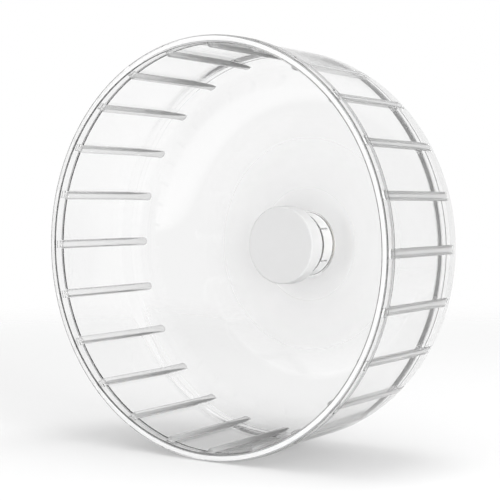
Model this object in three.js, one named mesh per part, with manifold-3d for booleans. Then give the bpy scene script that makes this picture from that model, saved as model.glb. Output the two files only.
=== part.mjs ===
// Clear running wheel for a small pet, hung on a cage wall by the stud behind its hub.
// Millimetres, +Z up. The wheel turns about the Y axis and its open side faces -Y.
// The origin is the centre of the mounting face, where the rear flange meets the cage.

import * as THREE from 'three';
import { mergeVertices } from 'three/addons/utils/BufferGeometryUtils.js';
import Module from 'manifold-3d';

const wasm = await Module();
wasm.setup();

// Fits
const fitGap = 0.3;          // between moulded pieces that are glued, snapped or stacked
const pressGap = 0.05;       // between turned pieces that are pressed together
const runningGap = 0.08;     // between pieces that turn on each other
const faceGap = 0.1;         // between the faces of pieces stacked along the spindle

// Drum
const rimOuterRadius = 105;
const rimWidth = 6.5;
const rimLip = 1;            // part of the rim that laps over the wall
const rimLap = 0.8;          // length of that lap
const rimRound = 1;
const shellThickness = 2.4;
const drumDepth = 91;        // front of the rim to the back of the disc
const cornerRadius = 30;     // outside of the rounded rear corner
const wallDraft = THREE.MathUtils.degToRad(2.2);

// Foot bars
const rungCount = 24;
const rungWidth = 3.4;
const rungHeight = 2;
const rungTipThickness = 0.6;
const tabSetback = 3.6;      // front of the rim to the front of the tab
const tabLength = 1.5;
const noseLength = 0.6;      // how far a bar reaches in front of its tab

// Ball bearing, 608 size
const bearingBoreRadius = 4;
const bearingOuterRadius = 11;
const bearingWidth = 7;
const ballRadius = 1.98;
const ballCount = 7;
const trackGap = 0.12;       // between a ball and its track
const trackDepth = 0.7;      // depth of the track below the race's shoulder
const shieldThickness = 0.35;
const shieldInset = 0.1;
const cageRingThickness = 0.5;
const cageRingWidth = 2;
const cageProngWidth = 1.9;
const cageProngReach = 1;    // how far a prong passes the balls' centres

// Hub
const collarRadius = 17;
const collarWall = 2;
const collarLength = 9.8;
const slitCount = 6;
const slitWidth = 1;
const slitLength = 7;
const seatWall = 2;          // wall of the inner collar that holds the bearing
const retainerRadius = 17.8;
const retainerWall = 1.9;
const retainerWeb = 1.4;
const retainerGrip = 5;      // length that grips the inner collar
const retainerLip = 0.7;     // how far the web covers the bearing's outer race
const capSeat = 4.8;         // length of the retainer that the cap is pressed on
const capRadius = 20.4;
const capFlare = 0.4;        // the skirt is wider than the face by this much
const capDepth = 7.5;
const capTop = 1.6;
const capRound = 0.6;
const bushLength = 10;
const bushWall = 2;
const rearBossLength = 3;
const rearBossWall = 2.5;

// Spindle and cage mount
const shoulderRadius = 5.6;
const shoulderClearance = 1;
const washerThickness = 1;
const washerWall = 2.1;
const clipThickness = 0.8;
const clipGrooveDepth = 0.7;
const clipWall = 2.2;
const clipOpening = 4.4;
const spindleNose = 1.3;
const hexRadius = 8.2;
const hexLength = 4.8;
const hexPocket = 3.1;
const flangeRadius = 20;
const flangeThickness = 5;
const flangeRound = 1;
const backGap = 9;           // back of the disc to the flange
const studRadius = 4;
const studTail = 4.7;        // stud left over behind the nut
const clampGap = 6;          // room for the cage wires
const clampPlateRadius = 14;
const clampPlateThickness = 3;
const nutRadius = 9.6;
const nutLobe = 1.2;
const nutLobeCount = 6;
const nutLength = 8;

// Facets of a full turn
const drumFacets = 72;
const hubFacets = 36;
const cornerSteps = 8;
const rungArcSteps = 4;
const trackSteps = 4;
const nutFacets = 48;
const ballFacets = 12;
const ballRows = 7;

// Places along the Y axis
const flangeFront = -flangeThickness;
const discBack = flangeFront - backGap;
const discFront = discBack - shellThickness;
const rimFront = discBack - drumDepth;
const rimStep = rimFront + rimWidth - rimLap;
const wallFront = rimStep + fitGap;
const collarFront = discFront - collarLength;
const bearingBack = collarFront;
const bearingFront = bearingBack - bearingWidth;
const bearingMiddle = (bearingFront + bearingBack) / 2;
const rearBossBack = discBack + rearBossLength;
const bushFront = rearBossBack - bushLength;
const webBack = bearingFront - fitGap;
const webFront = webBack - retainerWeb;
const retainerFront = webFront - capSeat;
const capInside = retainerFront - fitGap;
const capFront = capInside - capTop;
const washerBack = bearingFront - faceGap;
const washerFront = washerBack - washerThickness;
const clipBack = washerFront - faceGap;
const clipFront = clipBack - clipThickness;
const spindleFront = clipFront - spindleNose;
const hexBack = flangeFront + hexPocket - fitGap;
const clampPlateBack = clampGap + clampPlateThickness;
const nutFront = clampPlateBack + fitGap;
const nutBack = nutFront + nutLength;
const studBack = nutBack + studTail;

// Wall and rounded corner: a drafted line that runs into an arc about one centre
const wallFrontRadius = rimOuterRadius - rimLip - fitGap;
const rimInnerRadius = wallFrontRadius - shellThickness;
const cornerY = discBack - cornerRadius;
const wallDistance = wallFrontRadius * Math.cos(wallDraft) + (wallFront - cornerY) * Math.sin(wallDraft);
const cornerCentre = (wallDistance - cornerRadius) / Math.cos(wallDraft);

function cornerPoint(radius, angle) {
  return [cornerCentre + radius * Math.cos(angle), cornerY + radius * Math.sin(angle)];
}

// Radius at a place on the axis of a line that runs inside the wall, parallel to it
function wallRadius(inset, y) {
  return (wallDistance - inset - (y - cornerY) * Math.sin(wallDraft)) / Math.cos(wallDraft);
}

function cornerArc(radius, fromAngle, toAngle, steps) {
  const points = [];
  for (let step = 0; step <= steps; step += 1) {
    points.push(cornerPoint(radius, fromAngle + (toAngle - fromAngle) * step / steps));
  }
  return points;
}

// Materials
const clearPlastic = { color: 0xf4f5f6, roughness: 0.08, metalness: 0 };
const whitePlastic = { color: 0xe6e6e6, roughness: 0.45, metalness: 0 };
const bearingSteel = { color: 0xb9bcc0, roughness: 0.25, metalness: 1 };
const zincSteel = { color: 0xa9adb2, roughness: 0.35, metalness: 1 };
const nylon = { color: 0xdeded8, roughness: 0.55, metalness: 0 };

const wheel = new THREE.Group();

function addPiece(name, geometry, finish) {
  const mesh = new THREE.Mesh(geometry, new THREE.MeshStandardMaterial(finish));
  mesh.name = name;
  wheel.add(mesh);
  return mesh;
}

// An outline of [radius, y] points, turned about the Y axis; one that is clear of the axis closes on itself
function turned(outline, facets) {
  const startsOnAxis = outline[0][0] === 0;
  const path = startsOnAxis ? outline : outline.concat([outline[0]]);
  return new THREE.LatheGeometry(path.map(([radius, y]) => new THREE.Vector2(radius, y)), facets);
}

// A plain ring between two radii and two places on the axis
function ring(innerRadius, outerRadius, frontY, backY, facets) {
  const outline = [[innerRadius, frontY], [outerRadius, frontY], [outerRadius, backY], [innerRadius, backY]];
  return turned(outline, facets);
}

function flatShape(outline) {
  return new THREE.Shape(outline.map(([x, y]) => new THREE.Vector2(x, y)));
}

function toSolid(geometry) {
  const bare = geometry.clone();
  bare.deleteAttribute('normal');
  bare.deleteAttribute('uv');
  const welded = mergeVertices(bare);
  const corners = welded.index.array;
  const triangles = [];
  for (let i = 0; i < corners.length; i += 3) {
    const [a, b, c] = corners.slice(i, i + 3);
    if (a !== b && b !== c && c !== a) {
      triangles.push(a, b, c);
    }
  }
  return new wasm.Manifold(new wasm.Mesh({
    numProp: 3,
    vertProperties: Float32Array.from(welded.attributes.position.array),
    triVerts: Uint32Array.from(triangles),
  }));
}

function toGeometry(solid) {
  const { vertProperties, triVerts } = solid.getMesh();
  const geometry = new THREE.BufferGeometry();
  geometry.setAttribute('position', new THREE.BufferAttribute(vertProperties, 3));
  geometry.setIndex(new THREE.BufferAttribute(triVerts, 1));
  geometry.computeVertexNormals();
  return geometry;
}

// Cuts a box out of a solid at equal steps round the Y axis
function cutRound(geometry, boxSize, radius, y, count, firstAngle) {
  let solid = toSolid(geometry);
  for (let i = 0; i < count; i += 1) {
    const cutter = new THREE.BoxGeometry(...boxSize);
    cutter.translate(radius, y, 0);
    cutter.rotateY(firstAngle + i * 2 * Math.PI / count);
    solid = solid.subtract(toSolid(cutter));
  }
  return toGeometry(solid);
}

// Drum shell: disc, corner and wall, with an inner collar for the bearing and an outer slit collar
const seatRadius = bearingOuterRadius + pressGap;
const seatOuterRadius = seatRadius + seatWall;
const boreRadius = shoulderRadius + shoulderClearance;
const bushInnerRadius = shoulderRadius + runningGap;
const bushOuterRadius = bushInnerRadius + bushWall;
const bushSeatRadius = bushOuterRadius + pressGap;
const quarterTurn = Math.PI / 2;

function makeDrumShell() {
  const outside = cornerArc(cornerRadius, wallDraft, quarterTurn, cornerSteps);
  const inside = cornerArc(cornerRadius - shellThickness, quarterTurn, wallDraft, cornerSteps);
  const rearBossRadius = bushSeatRadius + rearBossWall;
  const outline = [
    [wallRadius(shellThickness, wallFront), wallFront],
    [wallRadius(0, wallFront), wallFront],
    ...outside,
    [rearBossRadius, discBack],
    [rearBossRadius, rearBossBack],
    [bushSeatRadius, rearBossBack],
    [bushSeatRadius, bushFront],
    [boreRadius, bushFront],
    [boreRadius, bearingBack],
    [seatRadius, bearingBack],
    [seatRadius, bearingFront],
    [seatOuterRadius, bearingFront],
    [seatOuterRadius, discFront],
    [collarRadius - collarWall, discFront],
    [collarRadius - collarWall, collarFront],
    [collarRadius, collarFront],
    [collarRadius, discFront],
    ...inside,
  ];
  const shell = turned(outline, drumFacets);
  const slitBox = [2 * collarWall, 2 * slitLength, slitWidth];
  const slitMiddle = collarRadius - collarWall / 2;
  return cutRound(shell, slitBox, slitMiddle, collarFront, slitCount, Math.PI / slitCount);
}

// Front rim: a ring with a rebate for the wall's edge and one slot for each bar's tab
function makeFrontRim() {
  const rimBack = rimFront + rimWidth;
  const outline = [
    [rimInnerRadius + rimRound, rimFront],
    [rimOuterRadius - rimRound, rimFront],
    [rimOuterRadius, rimFront + rimRound],
    [rimOuterRadius, rimBack],
    [rimOuterRadius - rimLip, rimBack],
    [rimOuterRadius - rimLip, rimStep],
    [rimInnerRadius, rimStep],
    [rimInnerRadius, rimFront + rimRound],
  ];
  const slotThrough = 2 * (rimOuterRadius - rimInnerRadius);
  const slotBox = [slotThrough, tabLength + 2 * fitGap, rungWidth + 2 * fitGap];
  const slotMiddle = (rimOuterRadius + rimInnerRadius) / 2;
  const slotY = rimFront + tabSetback + tabLength / 2;
  return cutRound(turned(outline, drumFacets), slotBox, slotMiddle, slotY, rungCount, 0);
}

// Foot bar: its back follows the wall and the corner, its top is straight, its tab stands in the rim
function makeRung() {
  const backInset = shellThickness + fitGap;
  const topInset = backInset + rungHeight;
  const tabFront = rimFront + tabSetback;
  const tabBack = tabFront + tabLength;
  const noseFront = tabFront - noseLength;
  const backRadius = cornerRadius - backInset;
  const tipDrop = rungHeight - rungTipThickness;
  const tipAngle = wallDraft + Math.acos(1 - tipDrop / backRadius);
  const [tipRadius, tipY] = cornerPoint(backRadius, tipAngle);
  const noseRound = rungHeight / 2;
  const outline = [
    [wallRadius(backInset, noseFront), noseFront],
    [wallRadius(topInset - noseRound, noseFront), noseFront],
    [wallRadius(topInset, noseFront + noseRound), noseFront + noseRound],
    [wallRadius(topInset, tipY), tipY],
    [tipRadius, tipY],
    ...cornerArc(backRadius, tipAngle, wallDraft, rungArcSteps).slice(1),
    [wallRadius(backInset, tabBack), tabBack],
    [rimOuterRadius - fitGap, tabBack],
    [rimOuterRadius - fitGap, tabFront],
    [wallRadius(backInset, tabFront), tabFront],
  ];
  const bar = new THREE.ExtrudeGeometry(flatShape(outline), { depth: rungWidth, bevelEnabled: false });
  bar.translate(0, 0, -rungWidth / 2);
  return bar;
}

addPiece('drum_shell', makeDrumShell(), clearPlastic);
addPiece('front_rim', makeFrontRim(), clearPlastic);
const rungBar = makeRung();
for (let i = 0; i < rungCount; i += 1) {
  const number = String(i + 1).padStart(2, '0');
  const rung = addPiece(`rung_${number}`, rungBar, clearPlastic);
  rung.rotation.y = -i * 2 * Math.PI / rungCount;
}

// Retainer: an outer tube that carries the cap, a web over the bearing and a grip on the inner collar
function makeRetainer() {
  const tubeBack = collarFront - fitGap;
  const tubeInnerRadius = retainerRadius - retainerWall;
  const gripRadius = seatOuterRadius + fitGap;
  const gripOuterRadius = (gripRadius + tubeInnerRadius) / 2;
  const gripBack = webBack + retainerGrip;
  const outline = [
    [bearingOuterRadius - retainerLip, webFront],
    [tubeInnerRadius, webFront],
    [tubeInnerRadius, retainerFront],
    [retainerRadius, retainerFront],
    [retainerRadius, tubeBack],
    [tubeInnerRadius, tubeBack],
    [tubeInnerRadius, webBack],
    [gripOuterRadius, webBack],
    [gripOuterRadius, gripBack],
    [gripRadius, gripBack],
    [gripRadius, webBack],
    [bearingOuterRadius - retainerLip, webBack],
  ];
  return turned(outline, hubFacets);
}

// Hub cap: a lid whose skirt is pressed over the retainer
function makeHubCap() {
  const skirtBack = capFront + capDepth;
  const skirtInnerRadius = retainerRadius + fitGap;
  const outline = [
    [0, capFront],
    [capRadius - capRound, capFront],
    [capRadius, capFront + capRound],
    [capRadius + capFlare, skirtBack],
    [skirtInnerRadius, skirtBack],
    [skirtInnerRadius, capInside],
    [0, capInside],
  ];
  return turned(outline, hubFacets);
}

addPiece('bearing_retainer', makeRetainer(), clearPlastic);
addPiece('hub_cap', makeHubCap(), whitePlastic);
const rearBush = ring(bushInnerRadius, bushOuterRadius, bushFront + faceGap, rearBossBack, hubFacets);
addPiece('rear_bush', rearBush, nylon);

// Ball bearing: two races with a round track, shields, balls and a crown shaped cage
const ballPitchRadius = (bearingBoreRadius + bearingOuterRadius) / 2;
const trackRadius = ballRadius + trackGap;
const innerShoulder = ballPitchRadius - trackRadius + trackDepth;
const outerShoulder = ballPitchRadius + trackRadius - trackDepth;
const trackReach = Math.acos((trackRadius - trackDepth) / trackRadius);

function trackArc(side) {
  const points = [];
  for (let step = 0; step <= trackSteps; step += 1) {
    const angle = trackReach * (2 * step / trackSteps - 1);
    points.push([
      ballPitchRadius + side * trackRadius * Math.cos(angle),
      bearingMiddle + side * trackRadius * Math.sin(angle),
    ]);
  }
  return points;
}

function makeInnerRace() {
  return turned([
    [bearingBoreRadius + pressGap, bearingBack],
    [bearingBoreRadius + pressGap, bearingFront],
    [innerShoulder, bearingFront],
    ...trackArc(-1).reverse(),
    [innerShoulder, bearingBack],
  ], hubFacets);
}

function makeOuterRace() {
  return turned([
    [bearingOuterRadius, bearingFront],
    [bearingOuterRadius, bearingBack],
    [outerShoulder, bearingBack],
    ...trackArc(1).reverse(),
    [outerShoulder, bearingFront],
  ], hubFacets);
}

function makeShield(frontY) {
  const innerRadius = innerShoulder + fitGap;
  const outerRadius = outerShoulder - pressGap;
  return ring(innerRadius, outerRadius, frontY, frontY + shieldThickness, hubFacets);
}

function makeBallCage() {
  const ringFront = bearingMiddle + trackRadius + fitGap;
  const ringInnerRadius = ballPitchRadius - cageRingWidth / 2;
  const ringOuterRadius = ballPitchRadius + cageRingWidth / 2;
  const ringBack = ringFront + cageRingThickness;
  let cage = toSolid(ring(ringInnerRadius, ringOuterRadius, ringFront, ringBack, hubFacets));
  const prongFront = bearingMiddle - cageProngReach;
  const prongBack = (ringFront + ringBack) / 2;
  for (let i = 0; i < ballCount; i += 1) {
    const prong = new THREE.BoxGeometry(cageRingWidth / 2, prongBack - prongFront, cageProngWidth);
    prong.translate(ballPitchRadius, (prongFront + prongBack) / 2, 0);
    prong.rotateY((i + 0.5) * 2 * Math.PI / ballCount);
    cage = cage.add(toSolid(prong));
  }
  return toGeometry(cage);
}

addPiece('bearing_outer_race', makeOuterRace(), bearingSteel);
addPiece('bearing_inner_race', makeInnerRace(), bearingSteel);
addPiece('bearing_shield_front', makeShield(bearingFront + shieldInset), zincSteel);
addPiece('bearing_shield_rear', makeShield(bearingBack - shieldInset - shieldThickness), zincSteel);
addPiece('ball_cage', makeBallCage(), nylon);
const ballShape = new THREE.SphereGeometry(ballRadius, ballFacets, ballRows);
for (let i = 0; i < ballCount; i += 1) {
  const angle = i * 2 * Math.PI / ballCount;
  const ball = addPiece(`ball_${i + 1}`, ballShape, bearingSteel);
  ball.position.set(ballPitchRadius * Math.cos(angle), bearingMiddle, -ballPitchRadius * Math.sin(angle));
}

// Spindle: nose with a clip groove, bearing seat, shoulder, hex and threaded stud
function makeSpindle() {
  const shoulderFront = bearingBack + faceGap;
  const hexFront = hexBack - hexLength;
  const grooveRadius = bearingBoreRadius - clipGrooveDepth;
  const grooveFront = clipFront - faceGap;
  const grooveBack = clipBack + faceGap;
  const hexMiddle = (hexFront + hexBack) / 2;
  const outline = [
    [0, spindleFront],
    [bearingBoreRadius, spindleFront],
    [bearingBoreRadius, grooveFront],
    [grooveRadius, grooveFront],
    [grooveRadius, grooveBack],
    [bearingBoreRadius, grooveBack],
    [bearingBoreRadius, shoulderFront],
    [shoulderRadius, shoulderFront],
    [shoulderRadius, hexMiddle],
    [studRadius, hexMiddle],
    [studRadius, studBack],
    [0, studBack],
  ];
  const hex = new THREE.CylinderGeometry(hexRadius, hexRadius, hexLength, 6);
  hex.translate(0, hexMiddle, 0);
  return toGeometry(toSolid(turned(outline, hubFacets)).add(toSolid(hex)));
}

// Axle clip: an open spring ring in the spindle's groove
function makeAxleClip() {
  const innerRadius = bearingBoreRadius - clipGrooveDepth + pressGap;
  const outerRadius = innerRadius + clipWall;
  const body = ring(innerRadius, outerRadius, clipFront, clipBack, hubFacets);
  const mouth = new THREE.BoxGeometry(2 * outerRadius, 2 * clipThickness, clipOpening);
  mouth.translate(outerRadius, (clipFront + clipBack) / 2, 0);
  return toGeometry(toSolid(body).subtract(toSolid(mouth)));
}

// Mount flange: a round plate with a pocket for the spindle's hex; its back lies on the cage
function makeMountFlange() {
  const boreForStud = studRadius + fitGap;
  const outline = [
    [boreForStud, flangeFront],
    [flangeRadius - flangeRound, flangeFront],
    [flangeRadius, flangeFront + flangeRound],
    [flangeRadius, 0],
    [boreForStud, 0],
  ];
  const pocketRadius = hexRadius + fitGap / Math.cos(Math.PI / 6);
  const pocket = new THREE.CylinderGeometry(pocketRadius, pocketRadius, 2 * hexPocket, 6);
  pocket.translate(0, flangeFront, 0);
  return toGeometry(toSolid(turned(outline, drumFacets)).subtract(toSolid(pocket)));
}

const washerInnerRadius = bearingBoreRadius + pressGap;
const washerOuterRadius = washerInnerRadius + washerWall;
addPiece('spindle', makeSpindle(), nylon);
const axleWasher = ring(washerInnerRadius, washerOuterRadius, washerFront, washerBack, hubFacets);
addPiece('axle_washer', axleWasher, zincSteel);
addPiece('axle_clip', makeAxleClip(), zincSteel);
addPiece('mount_flange', makeMountFlange(), clearPlastic);

// Clamp plate and hand nut on the stud, behind the cage wall
function makeHandNut() {
  const outline = [];
  for (let i = 0; i < nutFacets; i += 1) {
    const angle = i * 2 * Math.PI / nutFacets;
    const radius = nutRadius + nutLobe * Math.cos(nutLobeCount * angle);
    outline.push([radius * Math.cos(angle), radius * Math.sin(angle)]);
  }
  const shape = flatShape(outline);
  const bore = new THREE.Path();
  bore.absarc(0, 0, studRadius + fitGap, 0, 2 * Math.PI, true);
  shape.holes.push(bore);
  const across = { depth: nutLength, bevelEnabled: false, curveSegments: hubFacets };
  const knob = new THREE.ExtrudeGeometry(shape, across);
  knob.rotateX(-quarterTurn);
  knob.translate(0, nutFront, 0);
  return knob;
}

const clampPlate = ring(studRadius + fitGap, clampPlateRadius, clampGap, clampPlateBack, hubFacets);
addPiece('clamp_plate', clampPlate, whitePlastic);
addPiece('hand_nut', makeHandNut(), whitePlastic);

export default wheel;
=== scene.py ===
"""Clear running wheel for a small pet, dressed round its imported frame."""

import math

import bpy
from mathutils import Matrix, Vector


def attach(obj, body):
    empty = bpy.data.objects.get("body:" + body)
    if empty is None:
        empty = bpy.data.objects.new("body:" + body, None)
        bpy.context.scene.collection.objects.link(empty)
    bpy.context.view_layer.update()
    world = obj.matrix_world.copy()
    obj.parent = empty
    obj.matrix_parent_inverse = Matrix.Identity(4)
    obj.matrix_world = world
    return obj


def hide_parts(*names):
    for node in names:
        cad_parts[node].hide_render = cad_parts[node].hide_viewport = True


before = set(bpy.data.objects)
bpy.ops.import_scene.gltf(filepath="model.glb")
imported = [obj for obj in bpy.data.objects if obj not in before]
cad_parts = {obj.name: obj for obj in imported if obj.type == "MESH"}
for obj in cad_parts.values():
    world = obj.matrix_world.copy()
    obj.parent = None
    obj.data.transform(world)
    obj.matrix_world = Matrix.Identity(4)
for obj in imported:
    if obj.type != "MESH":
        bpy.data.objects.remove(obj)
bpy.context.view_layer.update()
bpy.ops.object.select_all(action="DESELECT")


# Drum shell
# The back disc, rounded corner and running wall are one injection moulding of clear polystyrene.
# Two collars stand on the disc: the inner one holds the bearing, the outer one is slit so that it can give.

MM = 0.001
weld_gap = 0.002 * MM
smooth_angle = math.radians(32)
wall_front = -99.0
wall_front_radius = 103.7
wall_thickness = 2.4
wall_inner_radius = wall_front_radius - wall_thickness
wall_draft = math.tan(math.radians(2.2))
wall_slope = math.atan(wall_draft)
swell_start = -55.0
swell_length = 9.0
swell_height = 0.62
step_start = -44.4
step_length = 1.0
step_height = 0.15
corner_round = 30.0
corner_start_radius = 72.0
disc_back = -14.0
disc_front = disc_back - wall_thickness
bearing_front = -33.2
bearing_back = -26.2
seat_radius = 11.05
seat_outer_radius = 13.05
collar_radius = 17.0
collar_wall = 2.0
slit_count = 6
slit_size = (4.0, 14.0, 1.0)
slit_radius = 16.0
first_slit = math.radians(30)
bush_front = -21.0
bush_seat_radius = 7.73
bore_radius = 6.6
boss_radius = 10.23
boss_back = -11.0


def rounded(corners, hold=0.15):
    """Turns corners of (radius, y, arc) in millimetres into a closed outline with an arc at each corner.

    A corner whose arc is 0 stays sharp. A holding point stands beside each end of an arc, so that the flats
    stay flat when the faces are smoothed. Small arcs turn by 18 degrees or less at a step, large ones by 4.
    """
    outline = []
    before = corners[-1:] + corners[:-1]
    after = corners[1:] + corners[:1]
    for (back_x, back_y, _), (x, y, arc), (on_x, on_y, _) in zip(before, corners, after):
        if arc == 0:
            outline.append((x, y))
            continue
        back_long = math.hypot(back_x - x, back_y - y)
        on_long = math.hypot(on_x - x, on_y - y)
        back_x, back_y = (back_x - x) / back_long, (back_y - y) / back_long
        on_x, on_y = (on_x - x) / on_long, (on_y - y) / on_long
        half = math.acos(max(-1.0, min(1.0, back_x * on_x + back_y * on_y))) / 2
        middle_long = math.hypot(back_x + on_x, back_y + on_y)
        centre_x = x + (back_x + on_x) / middle_long * arc / math.sin(half)
        centre_y = y + (back_y + on_y) / middle_long * arc / math.sin(half)
        start_x = x + back_x * arc / math.tan(half)
        start_y = y + back_y * arc / math.tan(half)
        end_x = x + on_x * arc / math.tan(half)
        end_y = y + on_y * arc / math.tan(half)
        first = math.atan2(start_y - centre_y, start_x - centre_x)
        last = math.atan2(end_y - centre_y, end_x - centre_x)
        sweep = (last - first + math.pi) % (2 * math.pi) - math.pi
        steps = math.ceil(abs(sweep) / math.radians(18 if arc < 5 else 4))
        flat_from = arc / math.tan(half) + hold
        outline.append((x + back_x * flat_from, y + back_y * flat_from))
        for step in range(steps + 1):
            angle = first + sweep * step / steps
            outline.append((centre_x + arc * math.cos(angle), centre_y + arc * math.sin(angle)))
        outline.append((x + on_x * flat_from, y + on_y * flat_from))
    return outline


def draw_outline(points):
    """Draws a line of (x, y) points in millimetres, edge by edge, in the edit mode of a new mesh."""
    bpy.ops.object.select_all(action="DESELECT")
    bpy.ops.mesh.primitive_plane_add(size=MM)
    bpy.ops.object.mode_set(mode="EDIT")
    bpy.ops.mesh.merge(type="CENTER")
    bpy.ops.transform.translate(value=(points[0][0] * MM, points[0][1] * MM, 0))
    for here, there in zip(points, points[1:]):
        step = ((there[0] - here[0]) * MM, (there[1] - here[1]) * MM, 0)
        bpy.ops.mesh.extrude_region_move(TRANSFORM_OT_translate={"value": step})
    bpy.ops.mesh.select_all(action="SELECT")
    return bpy.context.object


def turn_outline(name, outline, steps):
    """Spins a closed outline of (radius, y) points in millimetres round the Y axis."""
    piece = draw_outline(outline + outline[:1])
    piece.name = piece.data.name = name
    bpy.ops.mesh.remove_doubles(threshold=weld_gap)
    bpy.ops.mesh.spin(steps=steps, angle=2 * math.pi, center=(0, 0, 0), axis=(0, 1, 0))
    bpy.ops.mesh.select_all(action="SELECT")
    bpy.ops.mesh.remove_doubles(threshold=weld_gap)
    bpy.ops.mesh.normals_make_consistent(inside=False)
    bpy.ops.object.mode_set(mode="OBJECT")
    bpy.ops.object.shade_smooth_by_angle(angle=smooth_angle)
    return piece


def boxes_round(size, middle, count, first_angle):
    """Adds a box of that size and place in millimetres, for cutting, and copies it round the Y axis."""
    bpy.ops.object.select_all(action="DESELECT")
    bpy.ops.mesh.primitive_cube_add(size=1)
    boxes = bpy.context.object
    bpy.ops.object.mode_set(mode="EDIT")
    bpy.ops.transform.resize(value=[side * MM for side in size])
    bpy.ops.transform.translate(value=[shift * MM for shift in middle])
    bpy.ops.mesh.spin(
        steps=count - 1, dupli=True, angle=2 * math.pi * (count - 1) / count, center=(0, 0, 0), axis=(0, 1, 0)
    )
    bpy.ops.object.mode_set(mode="OBJECT")
    boxes.data.transform(Matrix.Rotation(first_angle, 4, "Y"))
    return boxes


def join_solid(piece, other, operation):
    """Cuts or adds another solid with a Boolean modifier and applies it."""
    solid = piece.modifiers.new("solid", "BOOLEAN")
    solid.operation = operation
    solid.solver = "EXACT"
    solid.object = other
    bpy.ops.object.select_all(action="DESELECT")
    piece.select_set(True)
    bpy.context.view_layer.objects.active = piece
    bpy.ops.object.modifier_apply(modifier=solid.name)
    bpy.data.objects.remove(other)
    bpy.ops.object.shade_smooth_by_angle(angle=smooth_angle)


def linear(code):
    """An sRGB hex colour as linear RGBA."""
    parts = [int(code[i : i + 2], 16) / 255 for i in (1, 3, 5)]
    return [c / 12.92 if c <= 0.04045 else ((c + 0.055) / 1.055) ** 2.4 for c in parts] + [1.0]


def add_node(tree, kind, links=None, inputs=None, **settings):
    """Adds a node, sets its properties and input values, and links sockets into its inputs."""
    node = tree.nodes.new(kind)
    for key, value in settings.items():
        setattr(node, key, value)
    for key, value in (inputs or {}).items():
        node.inputs[key].default_value = value
    for key, socket in (links or {}).items():
        tree.links.new(socket, node.inputs[key])
    return node


def eased(distance, length):
    """Rises smoothly from 0 to 1 while the distance goes from 0 to that length."""
    share = min(1, max(0, distance / length))
    return share * share * (3 - 2 * share)


def wall_inset(y):
    """Thickness of the wall at y, with a gentle swell before the corner and a small step where it starts."""
    swell = swell_height * eased(y - swell_start, swell_length)
    step = step_height * eased(y - step_start, step_length)
    return wall_thickness + swell + step


def wall_radius(inset, y):
    """Radius at y of a line that runs inside the wall's outer face, parallel to it."""
    return wall_front_radius - (y - wall_front) * wall_draft - inset / math.cos(wall_slope)


# The inner outline follows the step in tenths of a millimetre and the swell in halves
step_places = [-43.3 - 0.1 * count for count in range(14)]
swell_places = [-45.5 - 0.5 * count for count in range(20)]
shell_outline = rounded([
    (wall_inner_radius, wall_front, 0.7),
    (wall_front_radius, wall_front, 0),
    (wall_radius(0, disc_back), disc_back, corner_round),
    (boss_radius, disc_back, 1.0),
    (boss_radius, boss_back, 0.4),
    (bush_seat_radius, boss_back, 0.3),
    (bush_seat_radius, bush_front, 0),
    (bore_radius, bush_front, 0),
    (bore_radius, bearing_back, 0),
    (seat_radius, bearing_back, 0),
    (seat_radius, bearing_front, 0.2),
    (seat_outer_radius, bearing_front, 0.3),
    (seat_outer_radius, disc_front, 0.8),
    (collar_radius - collar_wall, disc_front, 0.8),
    (collar_radius - collar_wall, bearing_back, 0.3),
    (collar_radius, bearing_back, 0.6),
    (collar_radius, disc_front, 1.0),
    (wall_radius(wall_inset(disc_front), disc_front), disc_front, corner_round - wall_thickness),
    *[(wall_radius(wall_inset(y), y), y, 0) for y in step_places + swell_places],
])
drum_shell = turn_outline("drum_shell_clear", shell_outline, steps=192)
slits = boxes_round(slit_size, (slit_radius, bearing_back, 0), slit_count, first_slit)
join_solid(drum_shell, slits, "DIFFERENCE")

# Clear polystyrene from a polished tool: bright and all but colourless, with faint wiped patches of 14 mm.
# Light that glances or is trapped inside by total reflection gets a painted grey that stands in for dark
# surroundings mirrored in the edges; it is white here, and the thicker mouldings turn it grey.
polystyrene_ior = 1.59
clear_plastic = bpy.data.materials.new("clear polystyrene, polished moulding")
clear_plastic.use_nodes = True
tree = clear_plastic.node_tree
tree.nodes.clear()
glance = add_node(tree, "ShaderNodeFresnel", inputs={"IOR": polystyrene_ior})
trapped = add_node(
    tree, "ShaderNodeMapRange", {"Value": glance.outputs[0]}, {"From Min": 0.3, "From Max": 1.0}
)
tint = add_node(tree, "ShaderNodeMix", {"Factor": trapped.outputs[0]}, data_type="RGBA", name="tint")
tint.inputs["A"].default_value = linear("#FDFDFD")
tint.inputs["B"].default_value = linear("#FFFFFF")
coords = add_node(tree, "ShaderNodeTexCoord")
wiped = add_node(
    tree, "ShaderNodeTexNoise", {"Vector": coords.outputs["Object"]}, {"Scale": 1 / (14 * MM), "Detail": 3.0}
)
polish = add_node(
    tree, "ShaderNodeMapRange", {"Value": wiped.outputs["Fac"]},
    {"From Min": 0.3, "From Max": 0.7, "To Min": 0.01, "To Max": 0.03}, name="polish",
)
plastic = add_node(
    tree, "ShaderNodeBsdfGlass", {"Color": tint.outputs["Result"], "Roughness": polish.outputs[0]},
    {"IOR": polystyrene_ior}, name="plastic",
)

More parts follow.
